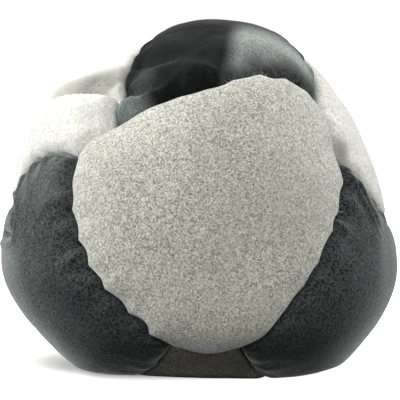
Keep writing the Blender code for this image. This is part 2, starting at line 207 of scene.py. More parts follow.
relief = {
    "lumps": 0.00022,  # the sand's soft unevenness
    "lumpSize": 0.0110,
    "slackShares": {"light_panel_front": 0.3, "light_panel_upper_left": 0.7,
                    "light_panel_right": 0.5, "dark_panel_left": 0.7,
                    "dark_panel_right": 0.35},
    "flatBeside": 0.0012,  # the buckles grow over this distance from a seam
    "lightPucker": 0.00003,
    "darkPucker": 0.00040,
    "puckerLength": 0.0030,
    "longPuckerShare": 0.9,
    "floorFade": 0.0090,  # the suede is smoother below this height, where it is pressed
    "seed": 7,
}

heart = np.array(bag["heart"])
tiny = 1e-9
curveSteps = {"span": 24, "measured": 60, "fold": 90}  # points on a curve over the skin


def unit(vectors):
    return vectors / np.linalg.norm(vectors, axis=-1, keepdims=True)


def bearing(places):
    turn, lift = np.radians(np.atleast_2d(np.array(places, float))).T
    level = np.cos(lift)
    return np.stack([np.sin(turn) * level, -np.cos(turn) * level, np.sin(lift)], axis=-1)


def catmull(before, start, end, beyond, part):
    return start + 0.5 * part * (
        end - before
        + part * (2 * before - 5 * start + 4 * end - beyond
                  + part * (3 * (start - end) + beyond - before))
    )


def smoothStep(value):
    value = np.clip(value, 0, 1)
    return value * value * (3 - 2 * value)


def outlineFactor(way):
    shares = np.array(bag["outlineShares"])
    count = len(shares)
    step = np.arctan2(way[..., 2], way[..., 0]) % math.tau / math.tau * count
    index = step.astype(int)
    curve = catmull(*(shares[(index + offset) % count] for offset in (-1, 0, 1, 2)), step - index)
    return 1 + (curve - 1) * (1 - way[..., 1] ** 2)


def baseLift(way):
    # how far the pressed base stands off the floor, outside its three bearing places
    turns, reaches = np.array(bag["bearingPlaces"]).T
    turns = np.radians(turns)
    places = np.stack([np.sin(turns), -np.cos(turns)], axis=-1) * reaches[:, None]
    spot = way[..., :2] * (heart[2] / np.maximum(-way[..., 2], tiny))[..., None]
    outside = np.zeros(way.shape[:-1])
    for first, second in zip(places, np.roll(places, -1, axis=0)):
        along = unit(second - first)
        outward = np.array([along[1], -along[0]])
        outward *= np.sign(outward @ first)
        outside = np.maximum(outside, (spot - first) @ outward)
    return np.minimum(bag["liftShare"] * outside, bag["mostLift"])


def bodyRadius(way, dip=0.0, wall=0.0):
    low = way[..., 2] < 0
    reach = np.where(low, bag["drop"], bag["rise"])
    radius = outlineFactor(way) / np.sqrt(
        (way[..., 0] / bag["halfWidth"]) ** 2
        + (way[..., 1] / bag["halfDepth"]) ** 2
        + (way[..., 2] / reach) ** 2
    ) - dip - wall
    toFloor = (heart[2] - baseLift(way) - wall) / np.maximum(-way[..., 2], tiny)
    overlap = np.maximum(bag["baseRounding"] - abs(radius - toFloor), 0)
    flattened = np.minimum(radius, toFloor) - overlap ** 2 / (4 * bag["baseRounding"])
    return np.where(low, flattened, radius)


def skinPoints(way):
    return heart + way * bodyRadius(way)[..., None]


def toward(points):
    return unit(points - heart)


def smoothCurve(points, count):
    # points at equal steps on a smooth curve over the body, and the curve's length
    padded = np.vstack([2 * points[0] - points[1], points, 2 * points[-1] - points[-2]])
    parts = (np.arange(curveSteps["span"]) / curveSteps["span"])[:, None]
    spots = [catmull(*padded[index:index + 4], parts) for index in range(len(points) - 1)]
    path = np.vstack([skinPoints(toward(np.vstack(spots))), points[-1]])
    along = np.concatenate([[0], np.cumsum(np.linalg.norm(np.diff(path, axis=0), axis=1))])
    steps = np.linspace(0, along[-1], count + 1)
    return np.stack([np.interp(steps, along, path[:, axis]) for axis in range(3)], axis=1), along[-1]


def nearestOnLine(points, line, closed):
    # distance to the line, and the place along it in steps of its points
    starts = line if closed else line[:-1]
    ends = np.roll(line, -1, axis=0) if closed else line[1:]
    run = ends - starts
    square = np.maximum((run * run).sum(1), tiny ** 2)
    distance = np.empty(len(points))
    place = np.empty(len(points))
    chunk = 1500
    for first in range(0, len(points), chunk):
        some = points[first:first + chunk, None]
        part = np.clip(((some - starts) * run).sum(2) / square, 0, 1)
        away = np.linalg.norm(some - starts - part[..., None] * run, axis=2)
        nearest = away.argmin(1)
        rows = np.arange(len(nearest))
        distance[first:first + chunk] = away[rows, nearest]
        place[first:first + chunk] = nearest + part[rows, nearest]
    return distance, place


def middleOf(points):
    return skinPoints(toward(points.mean(0)))


rng = np.random.default_rng(relief["seed"])
tipPoints = {tip: skinPoints(bearing(place))[0] for tip, place in tips.items()}
allTips = np.array(list(tipPoints.values()))


def plainSeam(start, end, passes):
    # even line between two tips over the skin, and its number of stitches
    through = skinPoints(bearing((tips[start], *passes, tips[end])))
    length = smoothCurve(through, curveSteps["measured"])[1]
    stitches = max(round(length / stitching["pitch"]), stitching["fewest"])
    return smoothCurve(through, stitching["samples"] * stitches)[0], stitches


def makeSeams():
    # every seam: its edge line, the stitch count along it, how strong the stitches pull there
    seams = {}
    for name, (first, second, passes, shares, lows) in longSeams.items():
        dark = name.split("_")[-1]
        start, end = (first, dark), (second, dark)
        points, stitches = plainSeam(start, end, passes)
        middle = middleOf(np.array([tipPoints[tip] for tip in panelCorners["dark_panel_" + dark]]))
        run = unit(np.gradient(points, axis=0))
        side = unit(np.cross(run, toward(points)))
        side *= np.sign(((middle - points) * side).sum(1))[:, None]
        holes = np.arange(stitches + 1.0)
        holes[1:-1] += np.clip(rng.normal(0, stitching["uneven"], stitches - 1), -0.25, 0.25)
        holes[1:-1] += stitching["shifts"].get(name, 0)
        phase = np.interp(np.linspace(0, stitches, len(points)), holes, np.arange(stitches + 1))
        fade = np.clip(np.minimum(phase, stitches - phase) / stitching["fading"], 0, 1)
        # the light edge comes out to a corner at each stitch, and the dark one bulges between
        order = phase.astype(int)
        lows = np.linspace(*lows, stitches + 1) + rng.normal(0, 0.06, stitches + 1)
        low = np.clip(lows, 0.2, 0.8)[order]
        part = phase % 1
        lean = np.where(part < low, 0.5 * part / low, 0.5 + 0.5 * (part - low) / (1 - low))
        vary = np.clip(rng.normal(1, 0.25, stitches + 1), 0.5, 1.5)[order]
        scallop = 1 - 2 * np.sin(math.pi * lean) * vary
        reach = stitching["lobe"] * np.interp(phase, (0, stitches), shares) * fade
        points = points + side * (scallop * reach)[:, None]
        seams[start, end] = makeSeam(name, points, phase, fade, stitches)
    for start, end in zip(list(tips)[::2], list(tips)[1::2]):
        junction = start[0]
        points, stitches = plainSeam(start, end, shortSeamPasses.get(junction, ()))
        phase = np.linspace(0, stitches, len(points))
        fade = np.clip(np.minimum(phase, stitches - phase), 0, 1)
        seams[start, end] = makeSeam("corner_" + junction, points, phase, fade, stitches)
    return seams


def makeSeam(name, points, phase, fade, stitches):
    knots = np.arange(stitches + 1)
    strength = np.interp(phase, knots, np.clip(rng.normal(1, 0.35, stitches + 1), 0.3, 1.8))
    length = np.interp(phase, knots, np.clip(rng.normal(1, relief["longPuckerShare"] / 2,
                                                        stitches + 1), 0.5, 2.4))
    # 1 at each stitch hole, 0 between two
    pull = (0.5 + 0.5 * np.cos(math.tau * phase)) ** 1.6 * fade
    return {"name": name, "points": points, "phase": phase, "pull": pull * strength,
            "fade": fade, "length": length}


def roundedCorner(side, following):
    # arc between two sides that meet in a tip, and how far it reaches back from the tip
    step = 2
    tip = side[-1]
    back = unit(side[-1 - step] - tip)
    on = unit(following[step] - tip)
    halfAngle = math.acos(float(np.clip(back @ on, -1, 1))) / 2
    trim = bag["cornerRadius"] / math.tan(halfAngle)
    centre = tip + unit(back + on) * bag["cornerRadius"] / math.sin(halfAngle)
    first, last = tip + back * trim - centre, tip + on * trim - centre
    turn = math.pi - 2 * halfAngle
    count = max(round(turn * bag["cornerRadius"] / (stitching["pitch"] / stitching["samples"])), 1)
    parts = (np.arange(count + 1) / count)[:, None]
    arc = (np.sin((1 - parts) * turn) * first + np.sin(parts * turn) * last) / math.sin(turn)
    return centre + arc, trim


def makeLoop(corners, seams):
    # closed edge of a panel, with what the stitches do along it
    keys = ("points", "pull", "fade", "length")
    sides = []
    for start, end in zip(corners, corners[1:] + corners[:1]):
        found = (start, end) in seams
        seam = seams[start, end] if found else seams[end, start]
        sides.append({key: seam[key][::1 if found else -1] for key in keys})
    loop = {key: [] for key in keys}
    step = stitching["pitch"] / stitching["samples"]
    for index, side in enumerate(sides):
        points = side["points"]
        previous = sides[index - 1]["points"]
        following = sides[(index + 1) % len(sides)]["points"]
        trimStart = roundedCorner(previous, points)[1]
        arc, trimEnd = roundedCorner(points, following)
        fromStart = np.linalg.norm(points - points[0], axis=1) - trimStart
        fromEnd = np.linalg.norm(points - points[-1], axis=1) - trimEnd
        keep = np.minimum(fromStart, fromEnd) > step / 2
        for key in keys:
            loop[key].append(side[key][keep])
        loop["points"].append(arc)
        loop["pull"].append(np.zeros(len(arc)))
        loop["fade"].append(np.zeros(len(arc)))
        loop["length"].append(np.ones(len(arc)))
    return {key: np.concatenate(loop[key]) for key in keys}


seams = makeSeams()
loops = {panel: makeLoop(corners, seams) for panel, corners in panelCorners.items()}
print("seams: %d, edge points: %d" % (len(seams), sum(len(l["points"]) for l in loops.values())))


def seamDip(points, inset):
    # the skin slopes down to every seam, and more so at the junctions
    toTip = np.linalg.norm(points[:, None] - allTips, axis=2).min(1)
    slope = bag["slopeDepth"] * np.exp(-inset / bag["slopeLength"])
    return slope + bag["pitDepth"] * np.exp(-(toTip / bag["pitWidth"]) ** 2)


def foldDip(points, panel=""):
    # how far the slack folds move the skin inward, on one panel or on all
    dip = np.zeros(len(points))
    for fold in folds.values():
        if panel and not any(panel.endswith(name) for name in fold["on"]):
            continue
        line = smoothCurve(skinPoints(bearing(fold["path"])), curveSteps["fold"])[0]
        away, place = nearestOnLine(points, line, False)
        index = np.minimum(place.astype(int), len(line) - 2)
        run = unit(line[index + 1] - line[index])
        side = np.sign(((points - line[index]) * np.cross(toward(line[index]), run)).sum(1))
        share = place / (len(line) - 1)
        fadeIn, fadeOut = fold["fades"]
        taper = smoothStep(share / fadeIn) * smoothStep((1 - share) / fadeOut)
        across = away * side * fold.get("side", 1)
        # the groove falls off steeply from the roll and rises gently beyond
        steep = np.where(across > 0, fold.get("steep", 1.0), 1.0)
        width = fold["width"]
        groove = fold["groove"] * np.exp(-(away / (width * steep)) ** 2)
        beyond = np.maximum(across - width, 0) / fold.get("rollWidth", width)
        roll = fold.get("roll", 0.0) * smoothStep(across / width) * np.exp(-beyond ** 2)
        dip += (groove - roll) * taper
    return dip


def lumpDip(points):
    size = relief["lumpSize"]
    return relief["lumps"] * np.array([
        noise.noise(Vector(point / size)) + 0.5 * noise.noise(Vector(point / size * 2.3))
        for point in points
    ])


def lipDrop(inset, radius):
    inner = np.clip(radius - inset, 0, radius)
    return radius - np.sqrt(radius ** 2 - inner ** 2)


# The suede between the seams is cut a little too large for the sand, so it buckles
# beside the stitches. A ball of cloth that the seams hold gives those buckles.
slack = {
    "subdivisions": 6,
    "scale": 20.0,  # the cloth is simulated this many times larger
    "frames": 20,
    "pressure": 4.0,
    "excess": 0.07,  # share of extra suede beside the seams
    "excessReach": 0.0045,
    "seamHold": 0.0009,
    "softHold": 0.10,
    "bending": 0.15,
    "smoothing": 16,  # passes that find the broad swelling, most of which is taken back
    "swelling": 0.25,
    "mostShift": 0.0008,
}


def nearestSeam(points):
    return np.min([nearestOnLine(points, seam["points"], False)[0] for seam in seams.values()],
                  axis=0)


def evenBall(subdivisions):
    # directions, faces and edges of a ball of even triangles
    work = bmesh.new()
    bmesh.ops.create_icosphere(work, subdivisions=subdivisions, radius=1.0)
    work.verts.index_update()
    ways = unit(np.array([vertex.co[:] for vertex in work.verts]))
    faces = [[vertex.index for vertex in face.verts] for face in work.faces]
    edges = np.array([[vertex.index for vertex in edge.verts] for edge in work.edges])
    work.free()
    return ways, faces, edges


def settleSuede():
    # directions, faces and the outward shift of the cloth ball
    ways, faces, edges = evenBall(slack["subdivisions"])
    skin = skinPoints(ways)
    inset = nearestSeam(skin)
    start = heart + ways * bodyRadius(ways, seamDip(skin, inset) + foldDip(skin))[:, None]
    mesh = bpy.data.meshes.new("slack")
    mesh.from_pydata((start * slack["scale"]).tolist(), [], faces)
    ball = bpy.data.objects.new("slack", mesh)
    scene.collection.objects.link(ball)
    hold = ball.vertex_groups.new(name="hold")
    taut = ball.vertex_groups.new(name="taut")
    held = slack["softHold"] + (1 - slack["softHold"]) * (inset < slack["seamHold"])
    tautness = 1 - np.exp(-inset / slack["excessReach"])
    for index in range(len(ways)):
        hold.add([index], float(held[index]), "REPLACE")
        taut.add([index], float(tautness[index]), "REPLACE")
    modifier = ball.modifiers.new("slack", "CLOTH")
    settings = modifier.settings
    settings.vertex_group_mass = "hold"
    settings.use_pressure = True
    settings.uniform_pressure_force = slack["pressure"]
    settings.effector_weights.gravity = 0
    settings.bending_stiffness = slack["bending"]
    settings.shrink_min = -slack["excess"]
    settings.shrink_max = 0.0
    settings.vertex_group_shrink = "taut"
    modifier.point_cache.frame_start = 1
    modifier.point_cache.frame_end = slack["frames"]
    for moment in range(1, slack["frames"] + 1):
        scene.frame_set(moment)
    settled = ball.evaluated_get(bpy.context.evaluated_depsgraph_get())
    after = np.empty(len(ways) * 3)
    settled.to_mesh().vertices.foreach_get("co", after)
    settled.to_mesh_clear()
    shift = ((after.reshape(-1, 3) / slack["scale"] - start) * ways).sum(1)
    bpy.data.objects.remove(ball)
    bpy.data.meshes.remove(mesh)
    scene.frame_set(1)
    swelling = shift.copy()
    degree = np.bincount(edges.ravel(), minlength=len(ways))
    for _ in range(slack["smoothing"]):
        around = np.bincount(edges[:, 0], swelling[edges[:, 1]], len(ways))
        around += np.bincount(edges[:, 1], swelling[edges[:, 0]], len(ways))
        swelling = 0.5 * swelling + 0.5 * around / degree
    shift -= (1 - slack["swelling"]) * swelling
    print("settled suede: %.2f to %.2f mm" % (shift.min() * 1000, shift.max() * 1000))
    return ways, faces, np.clip(shift, -slack["mostShift"], slack["mostShift"])


slackWays, slackFaces, slackShift = settleSuede()
slackTree = BVHTree.FromPolygons(slackWays.tolist(), slackFaces)
slackCorners = np.array(slackFaces)


def slackAt(way):
    # the simulated shift in these directions
    hits = [slackTree.find_nearest(Vector(direction)) for direction in way.tolist()]
    spots = np.array([hit[0][:] for hit in hits])
    corners = slackCorners[[hit[2] for hit in hits]]
    first, second, third = (slackWays[corners[:, column]] for column in range(3))
    normal = np.cross(second - first, third - first)
    size = (normal * normal).sum(1)
    share1 = (np.cross(third - second, spots - second) * normal).sum(1) / size
    share2 = (np.cross(first - third, spots - third) * normal).sum(1) / size
    shifts = slackShift[corners]
    return share1 * shifts[:, 0] + share2 * shifts[:, 1] + (1 - share1 - share2) * shifts[:, 2]


def softDip(points, way, inset, panel=""):
    # folds, buckles and the sand's lumps: the floor presses flat all that would reach it
    buckles = slackAt(way) * relief["slackShares"].get(panel, 1.0)
    buckles *= smoothStep(inset / relief["flatBeside"])
    above = smoothStep(points[:, 2] / relief["floorFade"])
    fold = foldDip(points, panel)
    return np.maximum(fold, 0) + above * (np.minimum(fold, 0) + lumpDip(points) - buckles)


def sampleLoop(values, place):
    return np.interp(place, np.arange(len(values) + 1), np.append(values, values[0]))


def panelRadius(panel, way, wall=0.0, drop=None):
    # distance from the heart to the finished suede in these directions
    loop = loops[panel]
    light = panel.startswith("light")
    skin = skinPoints(way)
    inset, place = nearestOnLine(skin, loop["points"], True)
    pull = sampleLoop(loop["pull"], place)
    fade = sampleLoop(loop["fade"], place)
    length = relief["puckerLength"] * sampleLoop(loop["length"], place)
    amount = relief["lightPucker"] if light else relief["darkPucker"]
    amount *= relief["slackShares"].get(panel, 1.0)
    amount = amount * smoothStep(skin[:, 2] / relief["floorFade"])
    dip = seamDip(skin, inset) + amount * (pull - 0.35 * fade) * np.exp(-inset / length)
    dip += softDip(skin, way, inset, panel)
    fall = lipDrop(inset, bag["lightLip"] if light else bag["darkLip"]) if drop is None else drop
    stitchDip = stitching["pull"] * pull * np.maximum(1 - inset / bag["shoulder"], 0)
    stitchDip *= stitching["lightShare"] if light else 1.0
    return bodyRadius(way, dip, wall) - fall - stitchDip


def insetEdge(points, middle, inset):
    # directions of the edge moved square to itself
    into = unit(points - np.roll(points, 1, axis=0))
    out = unit(np.roll(points, -1, axis=0) - points)
    inward = unit(np.cross(toward(points), into + out))
    inward *= np.sign(((middle - points) * inward).sum(1))[:, None]
    mitre = np.sqrt(np.clip((1 + (into * out).sum(1)) / 2, 0.25, 1))
    return toward(points + inward * (inset / mitre)[:, None])


panelRings = {
    "lip": (0.00016, 0.00025, 0.0004, 0.0006, 0.0008, 0.00105, 0.00135, 0.0017, 0.0021, 0.0026),
    "step": 0.00052,
    "lastShare": 0.97,  # of the way from the edge to the middle
}


def ringInsets(reach):
    # close rings over the rounded lip, wider ones toward the middle
    last = reach * panelRings["lastShare"]
    insets = list(panelRings["lip"])
    while insets[-1] < last:
        insets.append(insets[-1] + panelRings["step"])
    return [inset for inset in insets if inset < last]


def makeObject(name, points, faces, body="root"):
    mesh = bpy.data.meshes.new(name)
    mesh.from_pydata(points.tolist(), [], faces)
    work = bmesh.new()
    work.from_mesh(mesh)
    bmesh.ops.recalc_face_normals(work, faces=work.faces[:])
    work.to_mesh(mesh)
    work.free()
    mesh.shade_smooth()
    piece = bpy.data.objects.new(name, mesh)
    scene.collection.objects.link(piece)
    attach(piece, body)
    return piece


def skinRings(rings, centres):
    # closed body through rings of equal count, with a fan at each end
    count = len(rings[0])
    points = np.vstack([*rings, *centres])
    faces = []
    for ring in range(len(rings) - 1):
        low, high = ring * count, (ring + 1) * count
        for step in range(count):
            after = (step + 1) % count
            faces.append((low + step, low + after, high + after, high + step))
    for first, crown in ((0, len(points) - 2), ((len(rings) - 1) * count, len(points) - 1)):
        for step in range(count):
            faces.append((first + step, first + (step + 1) % count, crown))
    return points, faces


def skinTube(line, way, angles, radius):
    run = unit(np.gradient(line, axis=0))
    across = unit(np.cross(run, way))
    up = np.cross(across, run)
    rings = (line[:, None] + across[:, None] * (radius * np.cos(angles))[..., None]
             + up[:, None] * (radius * np.sin(angles))[..., None])
    return skinRings(list(rings), [line[:1], line[-1:]])


def makePanel(panel):
    edge = loops[panel]["points"]
    middle = middleOf(edge)
    reach = nearestOnLine(middle[None], edge, True)[0][0]
    shares = [inset / reach for inset in ringInsets(reach)]
    ways = [toward(edge + (middle - edge) * share) for share in reversed(shares)]
    ways.append(insetEdge(edge, middle, bag["gap"] / 2))
    outer = [heart + way * panelRadius(panel, way)[:, None] for way in ways]
    turned = heart + ways[-1] * panelRadius(panel, ways[-1], drop=bag["seamDepth"])[:, None]
    raw = turned - ways[-1] * bag["allowance"]
    inside = insetEdge(edge, middle, bag["gap"] / 2 + bag["thickness"])
    rawInner = heart + inside * np.linalg.norm(raw - heart, axis=1)[:, None]
    innerWays = [inside, *ways[-8::-3]]
    inner = [heart + way * panelRadius(panel, way, wall=bag["thickness"])[:, None]
             for way in innerWays]
    crown = toward(middle)[None]
    top = heart + crown * panelRadius(panel, crown)[:, None]
    under = heart + crown * panelRadius(panel, crown, wall=bag["thickness"])[:, None]
    points, faces = skinRings([*outer, turned, raw, rawInner, *inner], [top, under])
    piece = makeObject(panel + "_suede", points, faces)
    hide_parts(panel)
    return piece


panels = {}
for panel in panelCorners:
    panels[panel] = makePanel(panel)
    print("%s: %d faces" % (panel, len(panels[panel].data.polygons)))

# Two-ply sewing thread that zigzags under the raw edges of the turned-in suede
thread = {
    "diameter": 0.0005,
    "clearance": 0.0003,
    "seamGap": 0.0003,  # between the two suedes where the thread passes from one to the other
    "sides": 10,
    "samples": 20,  # rings for each stitch
    "plyPitch": 0.0011,
    "plyDepth": 0.20,
    "dustSize": 0.0012,
    "hairSize": 0.00012,
    "hairHeight": 0.00003,
}


def makeThread(seam):
    count = int(round(seam["phase"][-1])) * thread["samples"]
    phase = np.linspace(0, seam["phase"][-1], count + 1)[2:-2]
    line = np.stack([np.interp(phase, seam["phase"], seam["points"][:, axis])
                     for axis in range(3)], axis=1)
    way = toward(line)
    # the path keeps to the plain seam, under its lobes
    skin = skinPoints(way)
    depth = (bag["seamDepth"] + stitching["pull"] + bag["allowance"] + thread["clearance"]
             + thread["diameter"] / 2)
    middle = heart + way * bodyRadius(way, seamDip(skin, np.zeros(len(way))), depth)[:, None]
    sway = (thread["seamGap"] + bag["thickness"]) / 2 * np.sin(math.pi * phase)
    run = unit(np.gradient(middle, axis=0))
    middle = middle + unit(np.cross(run, way)) * sway[:, None]
    along = np.concatenate([[0], np.cumsum(np.linalg.norm(np.diff(middle, axis=0), axis=1))])
    angles = np.arange(thread["sides"]) / thread["sides"] * math.tau
    twist = along[:, None] / thread["plyPitch"] * math.tau
    ply = 1 - thread["plyDepth"] * (0.5 - 0.5 * np.cos(2 * (angles - twist)))
    points, faces = skinTube(middle, way, angles, thread["diameter"] / 2 * ply)
    piece = makeObject("thread_%s_plied" % seam["name"], points, faces)
    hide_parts("thread_" + seam["name"])
    return piece


threads = [makeThread(seam) for seam in seams.values()]
print("threads: %d, %d faces" % (len(threads), sum(len(t.data.polygons) for t in threads)))

# Dry sand that fills the bag and stands clear of the suede and its sewn edges
sand = {
    "subdivisions": 6,
    "clearance": 0.0010,
    "grooveHalfWidth": 0.0022,
    "grooveShoulder": 0.0036,
    "grainSize": 0.0009,
    "grainHeight": 0.00014,
    "tintSize": 0.0005,  # the grains that the colour shows
    "tintHeight": 0.0002,
}


def makeSand():
    ways, faces, _ = evenBall(sand["subdivisions"])
    skin = skinPoints(ways)
    inset = nearestSeam(skin)
    dip = seamDip(skin, inset) + np.maximum(softDip(skin, ways, inset), 0)
    deep = (bag["seamDepth"] + stitching["pull"] + bag["allowance"] + thread["clearance"]
            + thread["diameter"] - bag["thickness"])
    out = (inset - sand["grooveHalfWidth"]) / (sand["grooveShoulder"] - sand["grooveHalfWidth"])
    groove = deep * (1 - np.clip(out, 0, 1))
    grains = np.array([noise.noise(Vector(point / sand["grainSize"])) for point in skin])
    radius = bodyRadius(ways, dip, bag["thickness"] + sand["clearance"]) - groove
    radius -= sand["grainHeight"] * (0.5 + 0.5 * grains)
    piece = makeObject("sand_grains", heart + ways * radius[:, None], faces)
    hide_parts("sand_fill")
    return piece


sandPiece = makeSand()
print("sand: %d faces" % len(sandPiece.data.polygons))

# Loose fibres that stand out of the front panel's cut edge
fibres = {
    "places": ((30.5, 57.9), (32.5, 58.2), (28.5, 57.6), (34.0, 58.3), (13.0, 55.3),
               (15.5, 55.7), (49.5, 19.0), (48.6, 17.5)),
    "each": 2,
    "radius": 0.00003,
    "shortest": 0.0003,
    "longest": 0.0009,
    "sides": 5,
    "rings": 8,
    "scatter": 0.0004,
    "setBack": 0.0005,  # from the edge into the panel
    "rootDepth": 0.0001,
    "rise": 0.7,  # 0 would lie along the skin
    "stray": 0.45,
    "curl": 0.9,
    "tipShare": 0.4,  # of the radius
}


def makeFibres():
    panel = "light_panel_front"
    edge = loops[panel]["points"]
    middle = middleOf(edge)
    points, faces = [], []
    for place in fibres["places"]:
        for _ in range(fibres["each"]):
            spot = skinPoints(bearing(place))[0] + rng.normal(0, fibres["scatter"], 3)
            nearest = int(nearestOnLine(spot[None], edge, True)[1][0]) % len(edge)
            away = unit(edge[nearest] - middle)
            way = toward(edge[nearest][None] - away * fibres["setBack"])
            root = heart + way[0] * (panelRadius(panel, way)[0] - fibres["rootDepth"])
            heading = unit(away + fibres["rise"] * way[0] + rng.normal(0, fibres["stray"], 3))
            curl = rng.normal(0, fibres["curl"], 3)
            length = rng.uniform(fibres["shortest"], fibres["longest"])
            step = length / (fibres["rings"] - 1)
            spots = [root]
            for _ in range(fibres["rings"] - 1):
                heading = unit(heading + curl / fibres["rings"])
                spots.append(spots[-1] + heading * step)
            spots = np.array(spots)
            angles = np.arange(fibres["sides"]) / fibres["sides"] * math.tau
            taper = np.linspace(1, fibres["tipShare"], fibres["rings"])
            radius = fibres["radius"] * taper[:, None]
            some, sides = skinTube(spots, way[0], angles, radius)
            before = sum(len(part) for part in points)
            points.append(some)
            faces += [tuple(index + before for index in face) for face in sides]
    piece = makeObject("loose_fibres", np.vstack(points), faces)
    return piece


fibrePiece = makeFibres()
print("loose fibres: %d faces" % len(fibrePiece.data.polygons))


def srgb(text):
    values = [int(text[index:index + 2], 16) / 255 for index in (1, 3, 5)]
    linear = [value / 12.92 if value <= 0.04045 else ((value + 0.055) / 1.055) ** 2.4
              for value in values]
    return (*linear, 1.0)


def addNode(tree, kind, settings=None, links=None):
    # a link from a node takes its first output
    node = tree.nodes.new("ShaderNode" + kind)
    for key, value in (settings or {}).items():
        if isinstance(key, int) or key in node.inputs:
            node.inputs[key].default_value = value
        else:
            setattr(node, key, value)
    for key, source in (links or {}).items():
        socket = source.outputs[0] if isinstance(source, bpy.types.Node) else source
        tree.links.new(socket, node.inputs[key])
    return node


def newTree(name):
    material = bpy.data.materials.new(name)
    material.use_nodes = True
    tree = material.node_tree
    tree.nodes.clear()
    return material, tree, addNode(tree, "TexCoord").outputs["Object"]


def paintedLightAndShade(tree, place, at, full, gone, amount, plane=None):
    # how strongly a patch of painted light and shade comes in: round a place, and for some only
    # beyond a plane
    apart = addNode(tree, "VectorMath", {"operation": "DISTANCE", 1: at}, {0: place})
    share = addNode(tree, "MapRange",
                    {"interpolation_type": "SMOOTHSTEP", "From Min": full, "From Max": gone,
                     "To Min": amount, "To Max": 0.0}, {"Value": apart.outputs["Value"]})
    if plane is None:
        return share
    normal, start, blend = plane
    along = addNode(tree, "VectorMath", {"operation": "DOT_PRODUCT", 1: normal}, {0: place})
    beyond = addNode(tree, "MapRange", {"interpolation_type": "SMOOTHSTEP", "From Min": start,
                                        "From Max": start + blend},
                     {"Value": along.outputs["Value"]})
    return addNode(tree, "Math", {"operation": "MULTIPLY"}, {0: beyond, 1: share})


def suede(name, base, **changes):
    # synthetic suede: short brushed nap, matt, brighter at grazing angles
    finish = {**base, **changes}
    material, tree, place = newTree(name)
    # clouds where the nap lies another way
    clouds = addNode(tree, "TexNoise",
                     {"Scale": 1 / finish["cloudSize"], "Detail": 3.0, "Roughness": 0.55},
                     {"Vector": place})
    # curls of nap, drawn wider than real fibres so that they show
    curls = addNode(tree, "TexNoise",
                    {"Scale": 1 / finish["curlSize"], "Detail": 2.0, "Roughness": 0.6,
                     "Distortion": finish["distortion"]}, {"Vector": place})
    fine = addNode(tree, "TexNoise",
                   {"Scale": 1 / finish["fibreSize"], "Detail": 1.0, "Roughness": 0.6},
                   {"Vector": place})
    height = addNode(tree, "Mix", {"data_type": "FLOAT", 0: 0.3},
                     {2: curls, 3: fine})
    spread = addNode(tree, "MapRange", {"From Min": 0.42, "From Max": 0.58}, {"Value": height})
    colour = addNode(tree, "Mix",
                     {"data_type": "RGBA", 6: srgb(finish["valley"]), 7: srgb(finish["tip"])},
                     {0: spread}).outputs[2]
    cloudy = addNode(tree, "MapRange",
                     {"From Min": 0.35, "From Max": 0.65, "To Min": 0.0,
                      "To Max": finish["cloudAmount"]}, {"Value": clouds})
    colour = addNode(tree, "Mix", {"data_type": "RGBA", 7: srgb(finish["cloud"])},
                     {0: cloudy, 6: colour}).outputs[2]
    grainShare = addNode(tree, "MapRange", {"To Min": 0.6, "To Max": 1.0}, {"Value": spread})
    # patches of painted light, sheen and shade over the suede's colour
    for tint, *patch in finish["patches"]:
        # the grain still shows through the patch
        share = addNode(tree, "Math", {"operation": "MULTIPLY"},
                        {0: paintedLightAndShade(tree, place, *patch), 1: grainShare})
        colour = addNode(tree, "Mix", {"data_type": "RGBA", 7: srgb(tint)},
                         {0: share, 6: colour}).outputs[2]
    bump = addNode(tree, "Bump", {"Strength": finish["bump"], "Distance": finish["napHeight"]},
                   {"Height": height})
    shader = addNode(tree, "BsdfPrincipled",
                     {"Roughness": finish["roughness"], "IOR": 1.45,
                      "Specular IOR Level": 0.15,
                      "Sheen Weight": finish["sheen"], "Sheen Roughness": finish["sheenRoughness"],
                      "Sheen Tint": srgb(finish["sheenTint"])},
                     {"Base Color": colour, "Normal": bump})
    addNode(tree, "OutputMaterial", links={"Surface": shader})
    return material


lightSuede = {
    "valley": "#8C8C7E", "tip": "#EEEEE2", "cloud": "#B8B8AA", "cloudAmount": 0.20,
    "cloudSize": 0.012, "curlSize": 0.00034, "fibreSize": 0.00018, "distortion": 1.6,
    "bump": 0.9, "napHeight": 0.00030, "roughness": 0.95,
    "sheen": 0.6, "sheenRoughness": 0.30, "sheenTint": "#F6F6FF", "patches": (),
}
darkSuede = {
    "valley": "#1C1E1E", "tip": "#525756", "cloud": "#2C2F2F", "cloudAmount": 0.3,
    "cloudSize": 0.009, "curlSize": 0.00034, "fibreSize": 0.00018, "distortion": 0.8,
    "bump": 0.8, "napHeight": 0.00018, "roughness": 0.95,
    "sheen": 0.65, "sheenRoughness": 0.30, "sheenTint": "#E6EEEC",
    # painted shade: darker low down, toward the floor
    "patches": (
        ("#060707", (0.0, 0.0, 0.0), 0.040, 0.045, 0.92, ((0.0, 0.0, -1.0), -0.0105, 0.0090)),
    ),
}
